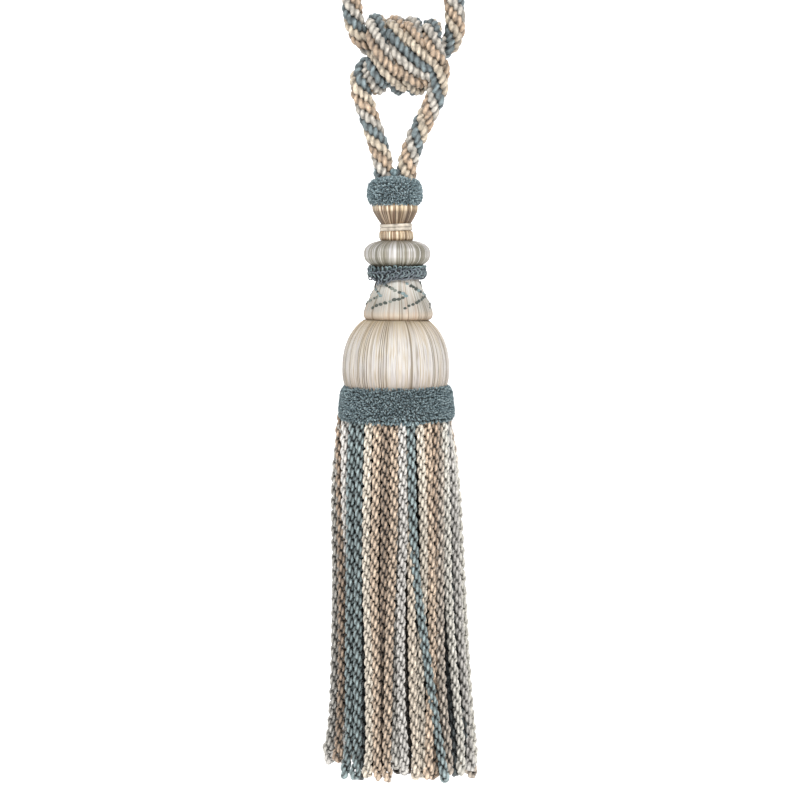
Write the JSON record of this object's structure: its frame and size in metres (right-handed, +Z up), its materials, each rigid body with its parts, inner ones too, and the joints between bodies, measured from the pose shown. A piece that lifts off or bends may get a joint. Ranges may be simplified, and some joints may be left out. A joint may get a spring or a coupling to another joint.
{
  "type": "curtain tieback tassel",
  "caption": "Curtain tieback tassel: twisted rope loop with a wound slide knot, thread-covered turned head with pile ruffs, and a skirt of twisted cords.",
  "frame": {"origin": "point on the underside of the rope loop's crown, where a hook carries it", "axes": "+Z up, along the tassel's length; +X to the right; the front faces -Y"},
  "size_m": [0.0692, 0.0691, 0.4252],
  "materials": {
    "rope": "twisted rope of teal, cream and tan yarns, matt",
    "cut_pile": "dense teal cut pile, matt",
    "cup_thread": "smooth laid threads, tan, brown and ivory, slight sheen",
    "whipping": "wound cream yarn",
    "bun_thread": "smooth laid threads, ivory and grey, slight sheen",
    "gimp": "dark teal looped gimp, matt",
    "bell_thread": "laid cream threads with a darned teal lozenge lattice",
    "ball_thread": "smooth laid cream threads with fine grey lines, slight sheen",
    "bullion": "twisted cords in teal, cream, tan and grey, matt"
  },
  "bodies": {
    "root": {"rope_loop": "rope", "slide_knot": "rope", "rope_leg_left": "rope", "rope_leg_right": "rope", "top_ruff": "cut_pile", "cup": "cup_thread", "waist_band": "whipping", "bun": "bun_thread", "gimp_collar": "gimp", "bell": "bell_thread", "ball": "ball_thread", "wide_ruff": "cut_pile", "skirt_fringe": "bullion"}
  },
  "joints": []
}
